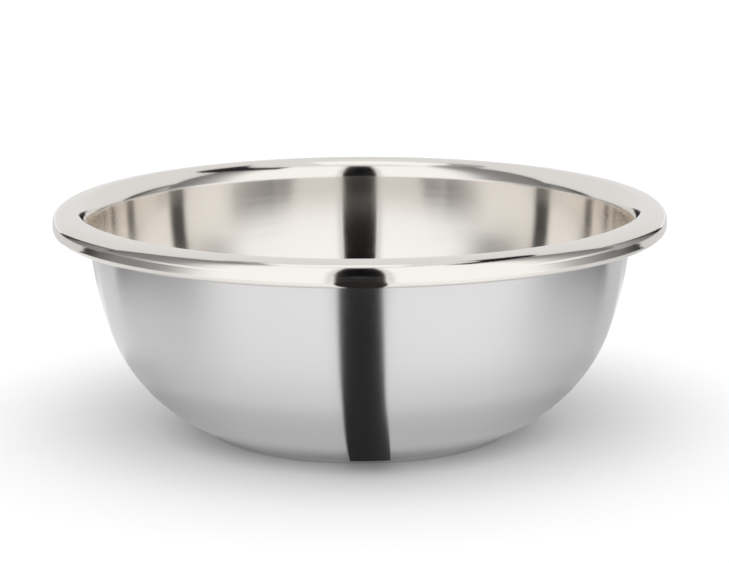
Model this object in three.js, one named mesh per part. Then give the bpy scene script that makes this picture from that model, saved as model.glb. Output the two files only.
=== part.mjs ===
// Mixing bowl: one deep-drawn sheet of stainless steel with a rolled rim, and the stiffening wire
// that lies in the roll. Millimetres, +Z up. The origin is the centre of the flat base, on the
// surface that the bowl stands on.

import * as THREE from "three";

// Driving dimensions.
const OUTER_DIAMETER = 300;
const HEIGHT = 111.5;
const SHEET = 0.8;
const WIRE_DIAMETER = 4;

// Radii of the sheet's bends, on the face that is polished: the inside, the rim's top and its skirt.
const CURL_RADIUS = 3.3;
const OUTER_BEND_RADIUS = 5.7;
const FLANGE_RADIUS = 29.5;
const MOUTH_EDGE_RADIUS = 3;
const MOUTH_BEND_RADIUS = 11.7;

// Radii of the bowl's wall, on its outer face.
const WALL_RADIUS = 189;
const BOWL_RADIUS = 82;

// The base is pressed down a little, which leaves a crease and a low foot around the flat.
const FOOT_HEIGHT = 2.8;
const FOOT_CREASE_RADIUS = 0.8;
const FOOT_EDGE_RADIUS = 2;

// Straight height of the rim's skirt, and how far the curl turns on from the skirt.
const SKIRT_HEIGHT = 2.2;
const CURL_TURN = 160;

// Slope of the flange at its outer edge, and how far the sheet turns down over the tight edge of
// the mouth before its larger bend.
const FLANGE_SLOPE = 12;
const MOUTH_EDGE_TURN = 30;

// Tilts of the wall and the foot from upright.
const WALL_TOP_TILT = 3.2;
const BOWL_END_TILT = 67.5;
const FOOT_TILT = 30;

// Facets around the axis, and around the wire's section.
const FACETS_AROUND = 60;
const FACETS_WIRE = 8;

const HALF_SHEET = SHEET / 2;
const UP = 90;
const INWARD = 180;
const DOWN = 270;

function sine(degrees) {
  return Math.sin(THREE.MathUtils.degToRad(degrees));
}

function cosine(degrees) {
  return Math.cos(THREE.MathUtils.degToRad(degrees));
}

// Radii on the middle of the sheet. A bend of the rim has the polished face outside it, and the
// bowl's wall has it inside.
const curl = CURL_RADIUS - HALF_SHEET;
const outerBend = OUTER_BEND_RADIUS - HALF_SHEET;
const flange = FLANGE_RADIUS - HALF_SHEET;
const mouthEdge = MOUTH_EDGE_RADIUS - HALF_SHEET;
const mouthBend = MOUTH_BEND_RADIUS - HALF_SHEET;
const wall = WALL_RADIUS - HALF_SHEET;
const bowl = BOWL_RADIUS - HALF_SHEET;
const footCrease = FOOT_CREASE_RADIUS + HALF_SHEET;
const footEdge = FOOT_EDGE_RADIUS - HALF_SHEET;

// The foot's straight flank takes up what its two bends leave of its height.
const footBendsDrop = footCrease * (sine(BOWL_END_TILT) - sine(FOOT_TILT)) + footEdge * (1 - sine(FOOT_TILT));
const footFlank = (FOOT_HEIGHT - footBendsDrop) / cosine(FOOT_TILT);

// The wall's gentle arc gives way to the bowl's rounder one at the tilt that makes up the height.
const mouthEdgeDrop = mouthEdge * (1 - cosine(MOUTH_EDGE_TURN));
const mouthBendDrop = mouthBend * (cosine(MOUTH_EDGE_TURN) - sine(WALL_TOP_TILT));
const archDrop = HEIGHT - SHEET - FOOT_HEIGHT - mouthEdgeDrop - mouthBendDrop;
const wallEndSine = (archDrop + wall * sine(WALL_TOP_TILT) - bowl * sine(BOWL_END_TILT)) / (wall - bowl);
const WALL_END_TILT = THREE.MathUtils.radToDeg(Math.asin(wallEndSine));

// The sheet's middle line from the lip of the curl, over the rim and down to the base. Each bend
// ends at a heading in degrees, where 0 points outward and 90 up.
const LIP_HEADING = UP - CURL_TURN;
const stretches = [
  { radius: curl, heading: UP, steps: 7 },
  { length: SKIRT_HEIGHT },
  { radius: outerBend, heading: INWARD - FLANGE_SLOPE, steps: 4 },
  { radius: flange, heading: INWARD, steps: 2 },
  { radius: mouthEdge, heading: INWARD + MOUTH_EDGE_TURN, steps: 2 },
  { radius: mouthBend, heading: DOWN - WALL_TOP_TILT, steps: 5 },
  { radius: wall, heading: DOWN - WALL_END_TILT, steps: 4 },
  { radius: bowl, heading: DOWN - BOWL_END_TILT, steps: 8 },
  { radius: footCrease, heading: DOWN - FOOT_TILT, steps: 2 },
  { length: footFlank },
  { radius: footEdge, heading: INWARD, steps: 3 },
];

// Walks the stretches and returns the points passed, each with its heading.
function walkMiddleLine() {
  let heading = LIP_HEADING;
  let at = new THREE.Vector2(0, 0);
  const stations = [{ at: at.clone(), heading }];
  for (const stretch of stretches) {
    if (stretch.length !== undefined) {
      at.add(new THREE.Vector2(cosine(heading), sine(heading)).multiplyScalar(stretch.length));
      stations.push({ at: at.clone(), heading });
      continue;
    }
    const turn = stretch.heading - heading;
    const side = turn > 0 ? UP : -UP;
    const toCentre = new THREE.Vector2(cosine(heading + side), sine(heading + side));
    const centre = at.clone().addScaledVector(toCentre, stretch.radius);
    for (let step = 1; step <= stretch.steps; step += 1) {
      const now = heading + (turn * step) / stretch.steps;
      const spoke = new THREE.Vector2(cosine(now - side), sine(now - side));
      at = centre.clone().addScaledVector(spoke, stretch.radius);
      stations.push({ at, heading: now });
    }
    heading = stretch.heading;
    at = at.clone();
  }
  return stations;
}

// A face of the sheet lies half its thickness to the right of the middle line, or to the left.
function faceOf(stations, side) {
  return stations.map(({ at, heading }) => {
    const toFace = new THREE.Vector2(cosine(heading + side), sine(heading + side));
    return at.clone().addScaledVector(toFace, HALF_SHEET);
  });
}

// Both faces, moved so that the skirt has the outer diameter and the base lies at zero.
const stations = walkMiddleLine();
const polished = faceOf(stations, -UP);
const outer = faceOf(stations, UP);
const shift = new THREE.Vector2(
  OUTER_DIAMETER / 2 - Math.max(...polished.map((point) => point.x)),
  -outer[outer.length - 1].y,
);
polished.forEach((point) => point.add(shift));
outer.forEach((point) => point.add(shift));

function lathe(profile) {
  const geometry = new THREE.LatheGeometry(profile, FACETS_AROUND);
  geometry.rotateX(Math.PI / 2);
  return geometry;
}

// The bowl's shell, one sheet from the centre of the base to the lip of the curl. The roll stays
// open below, between the lip and the wall.
function bowlShell() {
  const profile = [
    new THREE.Vector2(0, 0),
    ...outer.slice().reverse(),
    ...polished,
    new THREE.Vector2(0, SHEET),
  ];
  const steel = new THREE.MeshStandardMaterial({ color: 0xc9cbce, roughness: 0.15, metalness: 1 });
  const mesh = new THREE.Mesh(lathe(profile), steel);
  mesh.name = "bowl_shell";
  return mesh;
}

// The stiffening wire: a round ring that lies at the middle of the curl, clear of the sheet.
function rimWire() {
  const centre = new THREE.Vector2(
    OUTER_DIAMETER / 2 - CURL_RADIUS,
    polished[0].y + CURL_RADIUS * sine(UP - LIP_HEADING),
  );
  const section = [];
  for (let step = 0; step <= FACETS_WIRE; step += 1) {
    const angle = (360 * (step % FACETS_WIRE)) / FACETS_WIRE;
    const spoke = new THREE.Vector2(cosine(angle), sine(angle));
    section.push(centre.clone().addScaledVector(spoke, WIRE_DIAMETER / 2));
  }
  const wire = new THREE.MeshStandardMaterial({ color: 0x9a9da0, roughness: 0.45, metalness: 1 });
  const mesh = new THREE.Mesh(lathe(section), wire);
  mesh.name = "rim_wire";
  return mesh;
}

const mixingBowl = new THREE.Group();
mixingBowl.add(bowlShell());
mixingBowl.add(rimWire());

export default mixingBowl;
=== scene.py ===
import math

import bpy
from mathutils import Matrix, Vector


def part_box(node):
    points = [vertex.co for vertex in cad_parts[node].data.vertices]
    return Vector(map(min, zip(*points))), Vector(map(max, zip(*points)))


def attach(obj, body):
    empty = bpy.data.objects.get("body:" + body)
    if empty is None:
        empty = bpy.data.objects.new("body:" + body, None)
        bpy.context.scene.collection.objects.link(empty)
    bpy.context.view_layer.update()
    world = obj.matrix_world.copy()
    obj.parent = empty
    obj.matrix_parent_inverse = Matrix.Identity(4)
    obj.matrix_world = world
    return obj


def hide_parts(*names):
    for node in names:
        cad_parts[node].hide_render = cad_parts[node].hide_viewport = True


bl_info = {
    "name": "Mixing bowl",
    "version": (1, 0, 0),
    "blender": (4, 5, 0),
    "location": "3D View > Sidebar > Bowl",
    "description": "Makes a pressed stainless steel mixing bowl and a small studio for it",
    "category": "Add Mesh",
}

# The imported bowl: its shell, and the wire that lies in the roll of its rim.
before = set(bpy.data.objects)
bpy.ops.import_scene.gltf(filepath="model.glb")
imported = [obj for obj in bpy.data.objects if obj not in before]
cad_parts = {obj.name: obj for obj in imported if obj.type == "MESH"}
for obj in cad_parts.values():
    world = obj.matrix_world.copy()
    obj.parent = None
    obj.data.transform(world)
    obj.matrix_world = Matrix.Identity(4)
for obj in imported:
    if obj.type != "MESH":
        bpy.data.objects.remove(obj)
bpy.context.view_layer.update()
SHELL_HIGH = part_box("bowl_shell")[1]
WIRE_LOW, WIRE_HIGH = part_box("rim_wire")
WIRE_DIAMETER = WIRE_HIGH.z - WIRE_LOW.z
WIRE_HEIGHT = (WIRE_LOW.z + WIRE_HIGH.z) / 2
WIRE_RING_RADIUS = WIRE_HIGH.x - WIRE_DIAMETER / 2

MM = 0.001
OUTWARD = 0.0
UP = math.radians(90)
FULL_TURN = math.radians(360)


# ---------------------------------------------------------------------------------------------
# Sizes and colours that a user would change
# ---------------------------------------------------------------------------------------------

def distance(name, description, default):
    """A length in metres with its name and description."""
    return bpy.props.FloatProperty(
        name=name, description=description, default=default, subtype="DISTANCE", unit="LENGTH", precision=5)


def angle(name, description, degrees):
    """An angle, given in degrees."""
    return bpy.props.FloatProperty(
        name=name, description=description, default=math.radians(degrees), subtype="ANGLE", unit="ROTATION")


def share(name, description, default):
    """A share from 0 to 1."""
    return bpy.props.FloatProperty(
        name=name, description=description, default=default, min=0.0, max=1.0, subtype="FACTOR")


def amount(name, description, default):
    """A plain number, such as a brightness."""
    return bpy.props.FloatProperty(name=name, description=description, default=default, min=0.0)


def linear(hex_colour):
    """A linear colour with alpha from an sRGB hex value such as 0xD9D5D2."""
    channels = [(hex_colour >> shift & 255) / 255 for shift in (16, 8, 0)]
    return [c / 12.92 if c <= 0.04045 else ((c + 0.055) / 1.055) ** 2.4 for c in channels] + [1.0]


def colour(name, description, hex_colour):
    """A colour, given as an sRGB hex value."""
    return bpy.props.FloatVectorProperty(
        name=name, description=description, default=linear(hex_colour), size=4, min=0.0, max=1.0,
        subtype="COLOR")


class BowlSizes(bpy.types.PropertyGroup):
    """Sizes of the pressed sheet."""

    outer_radius: distance("Outer radius", "Radius of the rim's skirt", SHELL_HIGH.x)
    height: distance("Height", "Height of the flange over the base", SHELL_HIGH.z)
    sheet: distance("Sheet", "Thickness of the steel sheet", 0.8 * MM)
    curl_radius: distance("Curl radius", "Outer radius of the curl below the skirt", 3.3 * MM)
    outer_bend_radius: distance("Outer bend", "Outer radius from the skirt to the flange", 5.7 * MM)
    flange_radius: distance("Flange crown", "Radius of the flange's crown", 29.5 * MM)
    mouth_edge_radius: distance("Mouth edge", "Outer radius of the flange's tight inner edge", 3 * MM)
    mouth_bend_radius: distance("Mouth bend", "Outer radius from that edge down to the wall", 11.7 * MM)
    wall_radius: distance("Wall radius", "Outer radius of the wall's gentle arc", 189 * MM)
    bowl_radius: distance("Bowl radius", "Outer radius of the rounder arc below it", 82 * MM)
    foot_height: distance("Foot height", "Height of the crease over the base", 2.8 * MM)
    foot_crease_radius: distance("Foot crease", "Outer radius of the crease above the foot", 0.8 * MM)
    foot_edge_radius: distance("Foot edge", "Outer radius of the foot's lower edge", 2 * MM)
    skirt_height: distance("Skirt height", "Straight height of the rim's skirt", 2.2 * MM)
    curl_turn: angle("Curl turn", "How far the curl turns on from the skirt", 160)
    flange_slope: angle("Flange slope", "Fall of the flange at its outer edge", 12)
    mouth_edge_turn: angle("Mouth edge turn", "How far the sheet turns down over the mouth's tight edge", 30)
    wall_top_tilt: angle("Wall top tilt", "Tilt of the wall from upright below the mouth", 3.2)
    bowl_end_tilt: angle("Bowl end tilt", "Tilt of the bowl from upright at the foot", 67.5)
    foot_tilt: angle("Foot tilt", "Tilt of the foot's flank from upright", 30)


class WireSizes(bpy.types.PropertyGroup):
    """Sizes of the stiffening wire."""

    ring_radius: distance("Ring radius", "Radius of the wire's middle line", WIRE_RING_RADIUS)
    diameter: distance("Diameter", "Diameter of the wire", WIRE_DIAMETER)


class BowlFinish(bpy.types.PropertyGroup):
    """Colours and polish of the steel."""

    polished: colour("Polished steel", "Reflection colour of the polished faces", 0xEDE9E4)
    satin: colour("Satin steel", "Reflection colour of the brushed outer wall", 0xDFDEDE)
    wire: colour("Drawn wire", "Reflection colour of the wire", 0xA9A8A6)
    polished_roughness: share("Polished roughness", "Roughness of the polished faces", 0.115)
    satin_roughness: share("Satin roughness", "Roughness of the brushed outer wall", 0.24)


class StudioLook(bpy.types.PropertyGroup):
    """The floor, the soft panels and the camera."""

    floor: colour("Floor", "Colour of the pale floor", 0xF4F4F4)
    surround: amount("Surround", "Brightness of the room behind the bowl", 0.82)
    overhead: amount("Overhead", "Strength of the soft light from above", 0.7)
    panel_radius: distance("Panel radius", "Distance of the curved panels from the bowl", 1.0)
    camera_distance: distance("Camera distance", "Distance from the camera to the bowl", 1.3)
    camera_elevation: angle("Camera elevation", "Angle of the camera above the bowl's middle", 12.78)


SETTINGS = (BowlSizes, WireSizes, BowlFinish, StudioLook)


# ---------------------------------------------------------------------------------------------
# Modelling
# ---------------------------------------------------------------------------------------------

def deselect_all():
    """Leaves nothing selected, so that an operator acts on the new piece alone."""
    for thing in bpy.context.selected_objects:
        thing.select_set(False)
    bpy.context.view_layer.objects.active = None


def name_piece(name):
    """Names the active object and its mesh."""
    piece = bpy.context.object
    piece.name = name
    piece.data.name = name
    return piece


def settle(piece):
    """Puts a piece's place into its mesh, so that its object is at the origin."""
    deselect_all()
    piece.select_set(True)
    bpy.context.view_layer.objects.active = piece
    bpy.ops.object.transform_apply(location=True, rotation=True, scale=True)


def apply_modifiers(piece):
    """Applies every modifier of a piece, from the first to the last."""
    deselect_all()
    piece.select_set(True)
    bpy.context.view_layer.objects.active = piece
    for modifier in list(piece.modifiers):
        bpy.ops.object.modifier_apply(modifier=modifier.name)


def start_point(name, at):
    """Starts a piece in edit mode as a single point at a place."""
    deselect_all()
    bpy.ops.mesh.primitive_circle_add(vertices=3, radius=MM, location=at)
    piece = name_piece(name)
    settle(piece)
    bpy.ops.object.mode_set(mode="EDIT")
    bpy.ops.mesh.select_all(action="SELECT")
    bpy.ops.mesh.merge(type="CENTER")
    return piece


def spin_round_axis(steps):
    """Spins a profile round the axis in edit mode, closes it on itself and turns its faces outward."""
    bpy.ops.mesh.select_all(action="SELECT")
    bpy.ops.mesh.spin(steps=steps, angle=FULL_TURN, center=(0.0, 0.0, 0.0), axis=(0.0, 0.0, 1.0))
    bpy.ops.mesh.select_all(action="SELECT")
    bpy.ops.mesh.remove_doubles(threshold=0.001 * MM)
    bpy.ops.mesh.normals_make_consistent(inside=False)


class SheetLine:
    """The sheet's middle line, drawn in edit mode in the plane y = 0 from its last, selected point.

    The heading is an angle in that plane, where 0 points outward and 90 degrees points up."""

    def __init__(self, radius, height, heading):
        self.at = Vector((radius, 0.0, height))
        self.heading = heading

    def direction(self, turned=0.0):
        """A unit vector along the heading, turned by an angle."""
        way = self.heading + turned
        return Vector((math.cos(way), 0.0, math.sin(way)))

    def straight(self, length, steps=1):
        """Extrudes the last point along the heading."""
        move = self.direction() * (length / steps)
        for _ in range(steps):
            bpy.ops.mesh.extrude_region_move(TRANSFORM_OT_translate={"value": move})
        self.at += self.direction() * length

    def bend(self, radius, heading, steps):
        """Spins the last point round a bend that ends at a new heading."""
        turn = heading - self.heading
        side = math.copysign(UP, turn)
        centre = self.at + self.direction(side) * radius
        bpy.ops.mesh.spin(steps=steps, angle=turn, center=centre, axis=(0.0, 1.0, 0.0))
        self.heading = heading
        self.at = centre + self.direction(-side) * radius


def sheet_stretches(sizes):
    """The stretches of the middle line from the base's edge to the lip of the curl."""
    half = sizes.sheet / 2
    edge = sizes.foot_edge_radius - half
    crease = sizes.foot_crease_radius + half
    bowl = sizes.bowl_radius - half
    wall = sizes.wall_radius - half
    mouth = sizes.mouth_bend_radius - half
    mouth_edge = sizes.mouth_edge_radius - half
    flank_heading = UP - sizes.foot_tilt
    bowl_start = UP - sizes.bowl_end_tilt
    wall_end = UP - sizes.wall_top_tilt

    bends_rise = edge * (1 - math.sin(sizes.foot_tilt))
    bends_rise += crease * (math.sin(sizes.bowl_end_tilt) - math.sin(sizes.foot_tilt))
    flank = (sizes.foot_height - bends_rise) / math.cos(sizes.foot_tilt)

    # The rounder arc gives way to the wall's gentle one at the tilt that makes up the height.
    mouth_drop = mouth_edge * (1 - math.cos(sizes.mouth_edge_turn))
    mouth_drop += mouth * (math.cos(sizes.mouth_edge_turn) - math.sin(sizes.wall_top_tilt))
    arch = sizes.height - sizes.sheet - sizes.foot_height - mouth_drop
    arch += wall * math.sin(sizes.wall_top_tilt) - bowl * math.sin(sizes.bowl_end_tilt)
    wall_start = UP - math.asin(arch / (wall - bowl))

    return [
        ("bend", edge, flank_heading, 8),
        ("straight", flank, None, 2),
        ("bend", crease, bowl_start, 8),
        ("bend", bowl, wall_start, 24),
        ("bend", wall, wall_end, 12),
        ("bend", mouth, sizes.mouth_edge_turn, 22),
        ("bend", mouth_edge, OUTWARD, 12),
        ("bend", sizes.flange_radius - half, -sizes.flange_slope, 6),
        ("bend", sizes.outer_bend_radius - half, -UP, 20),
        ("straight", sizes.skirt_height, None, 3),
        ("bend", sizes.curl_radius - half, -UP - sizes.curl_turn, 24),
    ]


def reach(stretches):
    """How far outward the stretches carry the line up to the skirt, from the base's edge."""
    heading = OUTWARD
    outward = 0.0
    for kind, size, end, _ in stretches:
        if kind == "straight":
            outward += size * math.cos(heading)
            continue
        side = math.copysign(1.0, end - heading)
        outward += side * size * (math.sin(end) - math.sin(heading))
        heading = end
        if heading <= -UP:
            break
    return outward


# ---------------------------------------------------------------------------------------------
# Materials
# ---------------------------------------------------------------------------------------------

def node(tree, kind, links=None, **settings):
    """Adds a node, sets its attributes or inputs by name, and links inputs to other nodes' outputs."""
    made = tree.nodes.new(kind)
    for name, value in settings.items():
        if hasattr(made, name):
            setattr(made, name, value)
        else:
            made.inputs[name.replace("_", " ")].default_value = value
    for name, output in (links or {}).items():
        tree.links.new(output, made.inputs[name])
    return made


def new_material(name):
    """A material with an empty node tree."""
    material = bpy.data.materials.new(name)
    material.use_nodes = True
    material.node_tree.nodes.clear()
    return material


def finish_material(material, shader):
    """Links a shader to the material's output."""
    node(material.node_tree, "ShaderNodeOutputMaterial", {"Surface": shader})
    return material


def meridian_tangent(tree, place, normal):
    """A direction on the sheet that runs up the bowl, across the marks of a turning polish."""
    round_the_axis = node(tree, "ShaderNodeVectorMath", {1: place}, operation="CROSS_PRODUCT")
    round_the_axis.inputs[0].default_value = (0.0, 0.0, 1.0)
    up_the_wall = node(
        tree, "ShaderNodeVectorMath", {0: round_the_axis.outputs[0], 1: normal}, operation="CROSS_PRODUCT")
    unit = node(tree, "ShaderNodeVectorMath", {0: up_the_wall.outputs[0]}, operation="NORMALIZE")
    return unit.outputs[0]


def ring_marks(tree, place, spacing, around):
    """Noise drawn out round the axis: marks that lie a spacing apart up the wall, and run the further round
    it the smaller the last number is."""
    parts = node(tree, "ShaderNodeSeparateXYZ", {0: place})
    flat = node(tree, "ShaderNodeCombineXYZ", {0: parts.outputs[0], 1: parts.outputs[1]})
    radius = node(tree, "ShaderNodeVectorMath", {0: flat.outputs[0]}, operation="LENGTH")
    along = node(tree, "ShaderNodeMath", {0: radius.outputs[1], 1: parts.outputs[2]}, operation="ADD")
    step = node(tree, "ShaderNodeMath", {0: along.outputs[0]}, operation="MULTIPLY")
    step.inputs[1].default_value = 1 / spacing
    turned = node(tree, "ShaderNodeVectorMath", {0: flat.outputs[0]}, operation="NORMALIZE")
    wide = node(tree, "ShaderNodeVectorMath", {0: turned.outputs[0]}, operation="SCALE")
    wide.inputs[3].default_value = around
    sides = node(tree, "ShaderNodeSeparateXYZ", {0: wide.outputs[0]})
    spot = node(tree, "ShaderNodeCombineXYZ", {0: sides.outputs[0], 1: sides.outputs[1], 2: step.outputs[0]})
    return node(tree, "ShaderNodeTexNoise", {"Vector": spot.outputs[0]}, Scale=1.0, Detail=2.0).outputs["Fac"]


# Real marks of polishing and drawing lie closer than 0.1 mm. These are set wider apart, so that they show.
BUFFING_MARKS = 2.5 * MM
BRUSHING_MARKS = 0.7 * MM
DIE_LINES = 0.4 * MM
WIRE_ROUGHNESS = (0.35, 0.5)


def turned_steel(name, colour, roughness, spread, spacing, around, anisotropy):
    """Steel finished on a turning spindle, its roughness varied in rings by a share either way."""
    material = new_material(name)
    tree = material.node_tree
    place = node(tree, "ShaderNodeTexCoord").outputs["Object"]
    normal = node(tree, "ShaderNodeNewGeometry").outputs["Normal"]
    tangent = meridian_tangent(tree, place, normal)
    marks = ring_marks(tree, place, spacing, around)
    rough = node(tree, "ShaderNodeMapRange", {"Value": marks})
    rough.inputs["To Min"].default_value = roughness * (1 - spread)
    rough.inputs["To Max"].default_value = roughness * (1 + spread)
    shader = node(
        tree, "ShaderNodeBsdfPrincipled", {"Roughness": rough.outputs[0], "Tangent": tangent},
        Base_Color=colour, Metallic=1.0, Anisotropic=anisotropy)
    return finish_material(material, shader.outputs[0])


def polished_stainless(finish):
    """Stainless steel sheet, pressed and then buffed on a turning spindle: a mirror that is clear round the
    bowl and a little hazy up its wall."""
    return turned_steel(
        "buffed_stainless_steel", finish.polished, finish.polished_roughness, 0.2, BUFFING_MARKS, 3.0, 0.9)


def satin_stainless(finish):
    """Stainless steel brushed on a turning spindle: highlights drawn out up the wall, rings hardly seen."""
    return turned_steel(
        "satin_stainless_steel", finish.satin, finish.satin_roughness, 0.1, BRUSHING_MARKS, 2.0, 1.0)


def drawn_wire(finish):
    """Bright drawn steel wire, dulled by handling: die lines run along it."""
    material = new_material("drawn_steel_wire")
    tree = material.node_tree
    place = node(tree, "ShaderNodeTexCoord").outputs["Object"]
    marks = ring_marks(tree, place, DIE_LINES, 6.0)
    rough = node(tree, "ShaderNodeMapRange", {"Value": marks})
    rough.inputs["To Min"].default_value = WIRE_ROUGHNESS[0]
    rough.inputs["To Max"].default_value = WIRE_ROUGHNESS[1]
    shader = node(
        tree, "ShaderNodeBsdfPrincipled", {"Roughness": rough.outputs[0]},
        Base_Color=finish.wire, Metallic=1.0)
    return finish_material(material, shader.outputs[0])


# ---------------------------------------------------------------------------------------------
# Pieces
# ---------------------------------------------------------------------------------------------

# Steps round the axis, across the flat base and round the wire, and the sharpest edge shaded smooth.
TURN_STEPS = 256
BASE_STEPS = 8
WIRE_STEPS = 24
SMOOTH_BELOW = math.radians(50)


class BOWL_OT_shell(bpy.types.Operator):
    """Draws the sheet's middle line, spins it round the axis and gives it the sheet's thickness"""

    bl_idname = "bowl.shell"
    bl_label = "Bowl shell"

    def execute(self, context):
        sizes = context.scene.bowl_sizes
        finish = context.scene.bowl_finish
        half = sizes.sheet / 2
        stretches = sheet_stretches(sizes)
        base_radius = sizes.outer_radius - half - reach(stretches)

        piece = start_point("bowl_shell_sheet", (0.0, 0.0, half))
        line = SheetLine(0.0, half, OUTWARD)
        line.straight(base_radius, BASE_STEPS)
        for kind, size, heading, steps in stretches:
            if kind == "straight":
                line.straight(size, steps)
            else:
                line.bend(size, heading, steps)
        spin_round_axis(TURN_STEPS)
        bpy.ops.object.mode_set(mode="OBJECT")

        piece.data.materials.append(polished_stainless(finish))
        piece.data.materials.append(satin_stainless(finish))
        wall = piece.modifiers.new("sheet", "SOLIDIFY")
        wall.thickness = sizes.sheet
        wall.offset = 0.0
        wall.use_even_offset = True
        wall.material_offset = 1
        wall.material_offset_rim = 1
        apply_modifiers(piece)
        bpy.ops.object.shade_smooth_by_angle(angle=SMOOTH_BELOW)
        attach(piece, "root")
        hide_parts("bowl_shell")
        return {"FINISHED"}


class BOWL_OT_wire(bpy.types.Operator):
    """Spins the wire's round section round the axis"""

    bl_idname = "bowl.wire"
    bl_label = "Rim wire"

    def execute(self, context):
        sizes = context.scene.wire_sizes
        radius = sizes.diameter / 2
        middle = Vector((sizes.ring_radius, 0.0, WIRE_HEIGHT))
        deselect_all()
        bpy.ops.mesh.primitive_circle_add(
            vertices=WIRE_STEPS, radius=radius, location=middle, rotation=(UP, 0.0, 0.0))
        piece = name_piece("rim_wire_ring")
        settle(piece)
        bpy.ops.object.mode_set(mode="EDIT")
        spin_round_axis(TURN_STEPS)
        bpy.ops.object.mode_set(mode="OBJECT")
        piece.data.materials.append(drawn_wire(context.scene.bowl_finish))
        bpy.ops.object.shade_smooth()
        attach(piece, "root")
        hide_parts("rim_wire")
        return {"FINISHED"}


# ---------------------------------------------------------------------------------------------
# Studio
# ---------------------------------------------------------------------------------------------

# Brightness of the studio's cloths, as stops of an angle in degrees from the camera's side round to the
# back, and a level. The panels stand round the bowl. The floor's stops also light the panels' lowest and
# highest parts. The foot, belly and base rings lie on the floor, each nearer to the bowl's axis; they are
# no lamps but glow with painted floor light and painted shade, darker toward the bowl and at the sides,
# where the bowl shades the floor. A seam runs down each panel about 2 degrees from its front edge.
GAP = 8.2
SEAM = ((GAP, 1.0), (GAP + 1.4, 1.04), (GAP + 1.8, 0.60), (GAP + 2.2, 1.04), (GAP + 4, 1.10))
LEFT_PANEL = (*SEAM, (60, 1.10), (68, 0.98), (77, 0.64), (87, 0.38), (103, 0.30), (122, 0.195), (131, 0.16))
RIGHT_PANEL = (*SEAM, (72, 1.10), (80, 1.05), (87, 0.76), (98, 0.50), (110, 0.33), (123, 0.21), (135, 0.18))
LEFT_FLOOR = (
    *SEAM, (46, 1.08), (54, 0.91), (58, 0.72), (63, 0.50), (67, 0.37), (72, 0.32), (78, 0.27), (90, 0.25),
    (97, 0.17), (103, 0.08), (110, 0.01))
RIGHT_FLOOR = (
    *SEAM, (56, 1.08), (60, 1.02), (65, 0.87), (70, 0.66), (75, 0.49), (81, 0.37), (87, 0.29), (94, 0.22),
    (101, 0.16), (107, 0.08), (113, 0.01))
# Painted floor light and painted shade: the foot ring is lit floor that darkens at the sides, and the belly
# and base rings are darker still, the painted shade of the floor under the bowl.
LEFT_FOOT_PAINTED_LIGHT_AND_SHADE = ((14, 1.0), (36, 0.97), (48, 0.90), (61, 0.81), (70, 0.82), (81, 0.83), (94, 0.84), (109, 0.86))
RIGHT_FOOT_PAINTED_LIGHT_AND_SHADE = ((14, 1.0), (25, 1.03), (36, 1.03), (48, 0.98), (61, 0.86), (70, 0.79), (81, 0.76), (102, 0.66))
BELLY_FLOOR_PAINTED_SHADE = ((14, 0.83), (40, 0.79), (60, 0.70), (80, 0.58), (109, 0.53))
BASE_FLOOR_PAINTED_SHADE = ((14, 0.59), (40, 0.57), (60, 0.50), (80, 0.43), (109, 0.41))
BRIGHTEST = 1.2

# Brightness of the cloths that are the same all over.
FELT = 0.004
GREY_FELT = 0.4
BACK_FLOOR_GLOW = 0.72
STRIP_GLOW = 0.018
TOP_GLOW = 1.1

# Where the right side's high wall steps down, where the side walls end and the back ones start, where
# those end, and the walls' heights, in degrees.
RIGHT_STEP = 54
SIDE_END = 100
LEFT_BACK = 131
RIGHT_BACK = 135
LOW_TOP = 5
PANEL_TOP = 15
TENT_TOP = 69
RIGHT_SIDE_TOP = 60

# Where the floor's cloths end, in degrees, and the radii between them, in metres.
LEFT_FLOOR_END = 110
RIGHT_FLOOR_END = 113
BASE_EDGE = 0.085
BELLY_EDGE = 0.125
FOOT_EDGE = 0.17
FLOOR_EDGE = 0.35
BACK_FLOOR_EDGE = 2.0

# The felt hangs behind the panels, and the valances between the two, as shares of the panels' radius.
FELT_SHARE = 1.05
VALANCE_SHARE = 1.03

# Steps up and round a curved wall.
STEPS_UP = 16
STEPS_ROUND = 48

# The panel overhead: its middle and its two sides.
TOP_MIDDLE = (-0.08, -0.04, 1.06)
TOP_SIDES = (0.47, 0.38, 1.0)

# The dark strip of floor between the camera and the bowl: distance from the axis, middle and half width.
STRIP = (
    (0.073, 0.0045, 0.0095), (0.1, 0.0035, 0.0118), (0.137, 0.0022, 0.0152), (0.3, 0.0005, 0.0395),
    (1.0, 0.0, 0.144))
STRIP_HEIGHT = 1.5 * MM

# The camera circles the first point and looks at the second, a little above it and to its right.
BOWL_MIDDLE = Vector((0.0, 0.0, 51.5 * MM))
LOOK_AT = Vector((2.2 * MM, 0.0, 72.0 * MM))
LENS = 129.58
SENSOR_WIDTH = 36.0
CLIP_START = 0.05
CAMERA_ROLL = math.radians(-0.26)

# The light from above: how far it leans from straight down, and how widely it spreads.
OVERHEAD_TILT = math.radians(20)
OVERHEAD_SPREAD = math.radians(50)

# Side of the square floor, in metres, and how often light may bounce between the polished faces.
FLOOR_SIZE = 12.0
MOST_BOUNCES = 24


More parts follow.
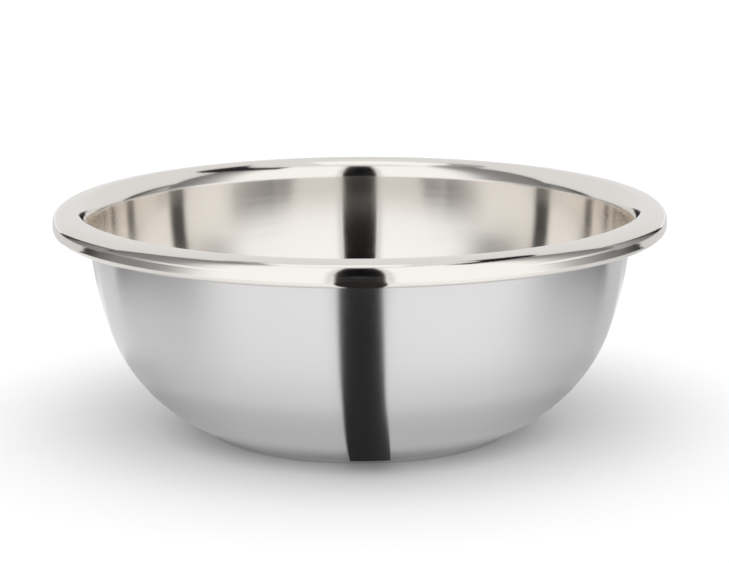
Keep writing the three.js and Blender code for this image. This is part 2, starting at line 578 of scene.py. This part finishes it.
def glowing(name, stops):
    """A glowing sheet whose brightness changes round the bowl: on the panels as cloth lit from behind does,
    on the rings near the bowl as painted floor light and painted shade.
    """
    material = new_material(name)
    tree = material.node_tree
    place = node(tree, "ShaderNodeTexCoord").outputs["Object"]
    parts = node(tree, "ShaderNodeSeparateXYZ", {0: place})
    front = node(tree, "ShaderNodeMath", {0: parts.outputs[1]}, operation="MULTIPLY")
    front.inputs[1].default_value = -1.0
    side = node(tree, "ShaderNodeMath", {0: parts.outputs[0]}, operation="ABSOLUTE")
    spot = node(tree, "ShaderNodeCombineXYZ", {0: front.outputs[0], 1: side.outputs[0]})
    round_bowl = node(tree, "ShaderNodeTexGradient", {"Vector": spot.outputs[0]}, gradient_type="RADIAL")
    ramp = node(tree, "ShaderNodeValToRGB", {"Fac": round_bowl.outputs["Fac"]})
    elements = ramp.color_ramp.elements
    while len(elements) < len(stops):
        elements.new(0.5)
    for element, (degrees, brightness) in zip(elements, stops):
        element.position = 0.5 + degrees / 360
        level = brightness / BRIGHTEST
        element.color = (level, level, level, 1.0)
    light = node(tree, "ShaderNodeEmission", {"Color": ramp.outputs["Color"]}, Strength=BRIGHTEST)
    return finish_material(material, light.outputs[0])


def plain_glow(name, brightness):
    """A plain soft light."""
    material = new_material(name)
    light = node(material.node_tree, "ShaderNodeEmission", Strength=brightness)
    return finish_material(material, light.outputs[0])


def second_look(name, brightness):
    """A cloth that shows only in a reflection of a reflection."""
    material = new_material(name)
    tree = material.node_tree
    clear = node(tree, "ShaderNodeBsdfTransparent")
    cloth = node(tree, "ShaderNodeEmission", Strength=brightness)
    depth = node(tree, "ShaderNodeLightPath").outputs["Ray Depth"]
    deep = node(tree, "ShaderNodeMath", {0: depth}, operation="GREATER_THAN")
    deep.inputs[1].default_value = 1.5
    either = node(tree, "ShaderNodeMixShader", {0: deep.outputs[0], 1: clear.outputs[0], 2: cloth.outputs[0]})
    return finish_material(material, either.outputs[0])


def hang(card, material):
    """A studio card that shows only in the steel."""
    card.data.materials.append(material)
    card.visible_camera = False
    card.visible_diffuse = False
    card.visible_shadow = False
    return card


def toward(side, height):
    """A direction from the bowl: degrees round from the camera's side, and degrees above the floor."""
    side, height = math.radians(side), math.radians(height)
    return Vector((math.sin(side) * math.cos(height), -math.cos(side) * math.cos(height), math.sin(height)))


def tent_wall(name, radius, start, end, low, high, material, cut=None):
    """A curved wall of the light tent between two angles round the bowl and two heights, in degrees.

    A cut is two directions, each a pair of such angles. What lies behind the plane through them and the
    middle of the bowl's base is cut away."""
    wall = start_point(name, toward(start, low) * radius)
    across = toward(start + 90, 0)
    bpy.ops.mesh.spin(steps=STEPS_UP, angle=math.radians(high - low), center=(0, 0, 0), axis=across)
    bpy.ops.mesh.select_all(action="SELECT")
    bpy.ops.mesh.spin(steps=STEPS_ROUND, angle=math.radians(end - start), center=(0, 0, 0), axis=(0, 0, -1))
    if cut:
        first, second = (toward(*angles) for angles in cut)
        bpy.ops.mesh.select_all(action="SELECT")
        plane = first.cross(second) * math.copysign(1.0, end - start)
        bpy.ops.mesh.bisect(plane_co=(0, 0, 0), plane_no=plane, clear_inner=True)
    bpy.ops.object.mode_set(mode="OBJECT")
    bpy.ops.object.shade_smooth()
    return hang(wall, material)


def floor_sweep(name, near, far, start, end, material):
    """A glowing sheet that lies on the floor round the bowl, between two radii and two angles in degrees: a
    lit cloth, or painted floor light and painted shade near the bowl.
    """
    sweep = start_point(name, toward(start, 0) * near + Vector((0, 0, MM)))
    bpy.ops.mesh.extrude_region_move(TRANSFORM_OT_translate={"value": toward(start, 0) * (far - near)})
    bpy.ops.mesh.select_all(action="SELECT")
    bpy.ops.mesh.spin(steps=STEPS_ROUND, angle=math.radians(end - start), center=(0, 0, 0), axis=(0, 0, -1))
    bpy.ops.object.mode_set(mode="OBJECT")
    return hang(sweep, material)


def front_strip(material):
    """A dark cloth on the floor that narrows toward the bowl."""
    left = [Vector((middle - half, -away, STRIP_HEIGHT)) for away, middle, half in STRIP]
    right = [Vector((middle + half, -away, STRIP_HEIGHT)) for away, middle, half in STRIP]
    outline = left + right[::-1]
    strip = start_point("front_strip", outline[0])
    for here, after in zip(outline, outline[1:]):
        bpy.ops.mesh.extrude_region_move(TRANSFORM_OT_translate={"value": after - here})
    bpy.ops.mesh.select_all(action="SELECT")
    bpy.ops.mesh.edge_face_add()
    bpy.ops.object.mode_set(mode="OBJECT")
    return hang(strip, material)


def lay_floor(look):
    """The pale floor: matt paint with no gloss."""
    deselect_all()
    bpy.ops.mesh.primitive_plane_add(size=FLOOR_SIZE, location=(0.0, 0.0, 0.0))
    floor = name_piece("floor")
    paint = new_material("matt_white_floor")
    shader = node(paint.node_tree, "ShaderNodeBsdfPrincipled", Base_Color=look.floor, Roughness=0.9)
    shader.inputs["Specular IOR Level"].default_value = 0.0
    finish_material(paint, shader.outputs[0])
    floor.data.materials.append(paint)


def light_room(scene, look):
    """A white room, a little darker in the steel than behind the bowl, and a soft light from above."""
    world = bpy.data.worlds.new("room")
    scene.world = world
    world.use_nodes = True
    tree = world.node_tree
    tree.nodes.clear()
    seen = node(tree, "ShaderNodeLightPath").outputs["Is Glossy Ray"]
    bright = node(tree, "ShaderNodeMapRange", {"Value": seen})
    bright.inputs["To Min"].default_value = 1.0
    bright.inputs["To Max"].default_value = look.surround
    room = node(tree, "ShaderNodeBackground", {"Strength": bright.outputs[0]}, Color=(1.0, 1.0, 1.0, 1.0))
    node(tree, "ShaderNodeOutputWorld", {"Surface": room.outputs[0]})

    deselect_all()
    bpy.ops.object.light_add(type="SUN", location=(0.0, 0.0, 2.0), rotation=(OVERHEAD_TILT, 0.0, 0.0))
    light = bpy.context.object
    light.data.energy = look.overhead
    light.data.angle = OVERHEAD_SPREAD
    light.visible_glossy = False


def hang_tent(radius):
    """The curved panels round the bowl, the felt behind them, the cloths on the floor and the rings of
    painted floor light and painted shade near the bowl.
    """
    behind = radius * FELT_SHARE
    between = radius * VALANCE_SHARE
    felt = plain_glow("black_felt", FELT)
    left_cloth = glowing("left_panel_cloth", LEFT_PANEL)
    right_cloth = glowing("right_panel_cloth", RIGHT_PANEL)
    left_cut = ((-LEFT_BACK, 0), (-108, 20))
    right_cut = ((RIGHT_BACK, 0), (112, 20))
    left_floor_cloth = glowing("left_floor_cloth", LEFT_FLOOR)
    right_floor_cloth = glowing("right_floor_cloth", RIGHT_FLOOR)

    tent_wall("left_low_panel", radius, -GAP, -SIDE_END, 0, LOW_TOP, left_floor_cloth)
    tent_wall("left_panel", radius, -GAP, -SIDE_END, LOW_TOP, PANEL_TOP, left_cloth)
    tent_wall("left_back_panel", radius, -SIDE_END, -LEFT_BACK, 0, TENT_TOP, left_cloth, left_cut)
    tent_wall("left_top_panel", radius, -GAP, -SIDE_END, PANEL_TOP, TENT_TOP, left_floor_cloth)
    tent_wall("right_low_panel", radius, GAP, SIDE_END, 0, LOW_TOP, right_floor_cloth)
    tent_wall("right_panel", radius, GAP, SIDE_END, LOW_TOP, PANEL_TOP, right_cloth)
    tent_wall("right_back_panel", radius, SIDE_END, RIGHT_BACK, 0, RIGHT_SIDE_TOP, right_cloth, right_cut)
    tent_wall("right_top_panel", radius, GAP, RIGHT_STEP, PANEL_TOP, TENT_TOP, right_floor_cloth)
    tent_wall("right_side_panel", radius, RIGHT_STEP, SIDE_END, PANEL_TOP, RIGHT_SIDE_TOP, right_floor_cloth)
    tent_wall("front_gap", behind, -14, 14, 0, TENT_TOP, felt)
    tent_wall("left_valance", between, -66, -135, 66, 73, plain_glow("grey_felt", GREY_FELT))
    tent_wall("right_valance", between, 56, 138, 58, TENT_TOP, felt)
    tent_wall("left_end", behind, -SIDE_END, -140, 0, 80, felt, ((-139, 0), (-115, 20)))
    tent_wall("right_end", behind, SIDE_END, 143, 0, 80, felt, ((143, 0), (119, 20)))
    tent_wall("back_cloth", behind, 165, 195, 4, 80, second_look("dark_back_cloth", FELT))

    floor_sweep("left_floor", FLOOR_EDGE, radius, -GAP, -LEFT_FLOOR_END, left_floor_cloth)
    floor_sweep("right_floor", FLOOR_EDGE, radius, GAP, RIGHT_FLOOR_END, right_floor_cloth)
    floor_sweep(
        "back_floor", FLOOR_EDGE, BACK_FLOOR_EDGE, RIGHT_FLOOR_END, 360 - LEFT_FLOOR_END,
        plain_glow("pale_grey_cloth", BACK_FLOOR_GLOW))
    # Rings of painted floor light and painted shade near the bowl, darker toward it, standing in for the
    # floor that the bowl shades.
    floor_sweep("left_foot", FOOT_EDGE, FLOOR_EDGE, 0, -LEFT_BACK, glowing("left_foot_painted_light_and_shade", LEFT_FOOT_PAINTED_LIGHT_AND_SHADE))
    floor_sweep("right_foot", FOOT_EDGE, FLOOR_EDGE, 0, RIGHT_BACK, glowing("right_foot_painted_light_and_shade", RIGHT_FOOT_PAINTED_LIGHT_AND_SHADE))
    belly_painted_shade = glowing("belly_floor_painted_shade", BELLY_FLOOR_PAINTED_SHADE)
    base_painted_shade = glowing("base_floor_painted_shade", BASE_FLOOR_PAINTED_SHADE)
    floor_sweep("belly_floor", BELLY_EDGE, FOOT_EDGE, -RIGHT_BACK, RIGHT_BACK, belly_painted_shade)
    floor_sweep("base_floor", BASE_EDGE, BELLY_EDGE, -RIGHT_BACK, RIGHT_BACK, base_painted_shade)
    front_strip(plain_glow("dark_floor_cloth", STRIP_GLOW))


def hang_top_panel():
    """The flat panel over the bowl, which shows in the middle of the rim."""
    deselect_all()
    bpy.ops.mesh.primitive_plane_add(size=1.0, location=TOP_MIDDLE)
    top = name_piece("top_panel")
    settle(top)
    bpy.ops.object.mode_set(mode="EDIT")
    bpy.ops.mesh.select_all(action="SELECT")
    bpy.ops.transform.resize(value=TOP_SIDES, center_override=TOP_MIDDLE)
    bpy.ops.object.mode_set(mode="OBJECT")
    hang(top, plain_glow("top_panel_cloth", TOP_GLOW))


def set_camera(scene, look):
    """A long lens, above the bowl and tilted down to it."""
    rise = look.camera_elevation
    place = BOWL_MIDDLE + Vector((0.0, -math.cos(rise), math.sin(rise))) * look.camera_distance
    turn = (LOOK_AT - place).to_track_quat("-Z", "Y").to_euler()
    bpy.ops.object.camera_add(location=place, rotation=turn)
    camera = bpy.context.object
    camera.data.lens = LENS
    camera.data.sensor_width = SENSOR_WIDTH
    camera.data.clip_start = CLIP_START
    scene.camera = camera
    camera.rotation_euler.rotate_axis("Z", CAMERA_ROLL)


class BOWL_OT_studio(bpy.types.Operator):
    """Adds the pale floor, the light tent, the room's light and the camera"""

    bl_idname = "bowl.studio"
    bl_label = "Studio"

    def execute(self, context):
        scene = context.scene
        look = scene.studio_look
        scene.view_settings.view_transform = "Standard"
        scene.cycles.max_bounces = MOST_BOUNCES
        scene.cycles.glossy_bounces = MOST_BOUNCES
        lay_floor(look)
        light_room(scene, look)
        hang_tent(look.panel_radius)
        hang_top_panel()
        set_camera(scene, look)
        return {"FINISHED"}


class BOWL_PT_panel(bpy.types.Panel):
    """Lists the pieces of the bowl and its studio"""

    bl_idname = "BOWL_PT_panel"
    bl_label = "Mixing bowl"
    bl_space_type = "VIEW_3D"
    bl_region_type = "UI"
    bl_category = "Bowl"

    def draw(self, context):
        for step in STEPS:
            self.layout.operator(step.bl_idname)


STEPS = (BOWL_OT_shell, BOWL_OT_wire, BOWL_OT_studio)
CLASSES = (*SETTINGS, *STEPS, BOWL_PT_panel)
SCENE_SETTINGS = {
    "bowl_sizes": BowlSizes,
    "wire_sizes": WireSizes,
    "bowl_finish": BowlFinish,
    "studio_look": StudioLook,
}


def register():
    for cls in CLASSES:
        bpy.utils.register_class(cls)
    for name, group in SCENE_SETTINGS.items():
        setattr(bpy.types.Scene, name, bpy.props.PointerProperty(type=group))


def unregister():
    for name in SCENE_SETTINGS:
        delattr(bpy.types.Scene, name)
    for cls in reversed(CLASSES):
        bpy.utils.unregister_class(cls)


def main():
    """Makes every piece and the studio."""
    register()
    bpy.ops.bowl.shell()
    bpy.ops.bowl.wire()
    bpy.ops.bowl.studio()


if __name__ == "__main__":
    main()
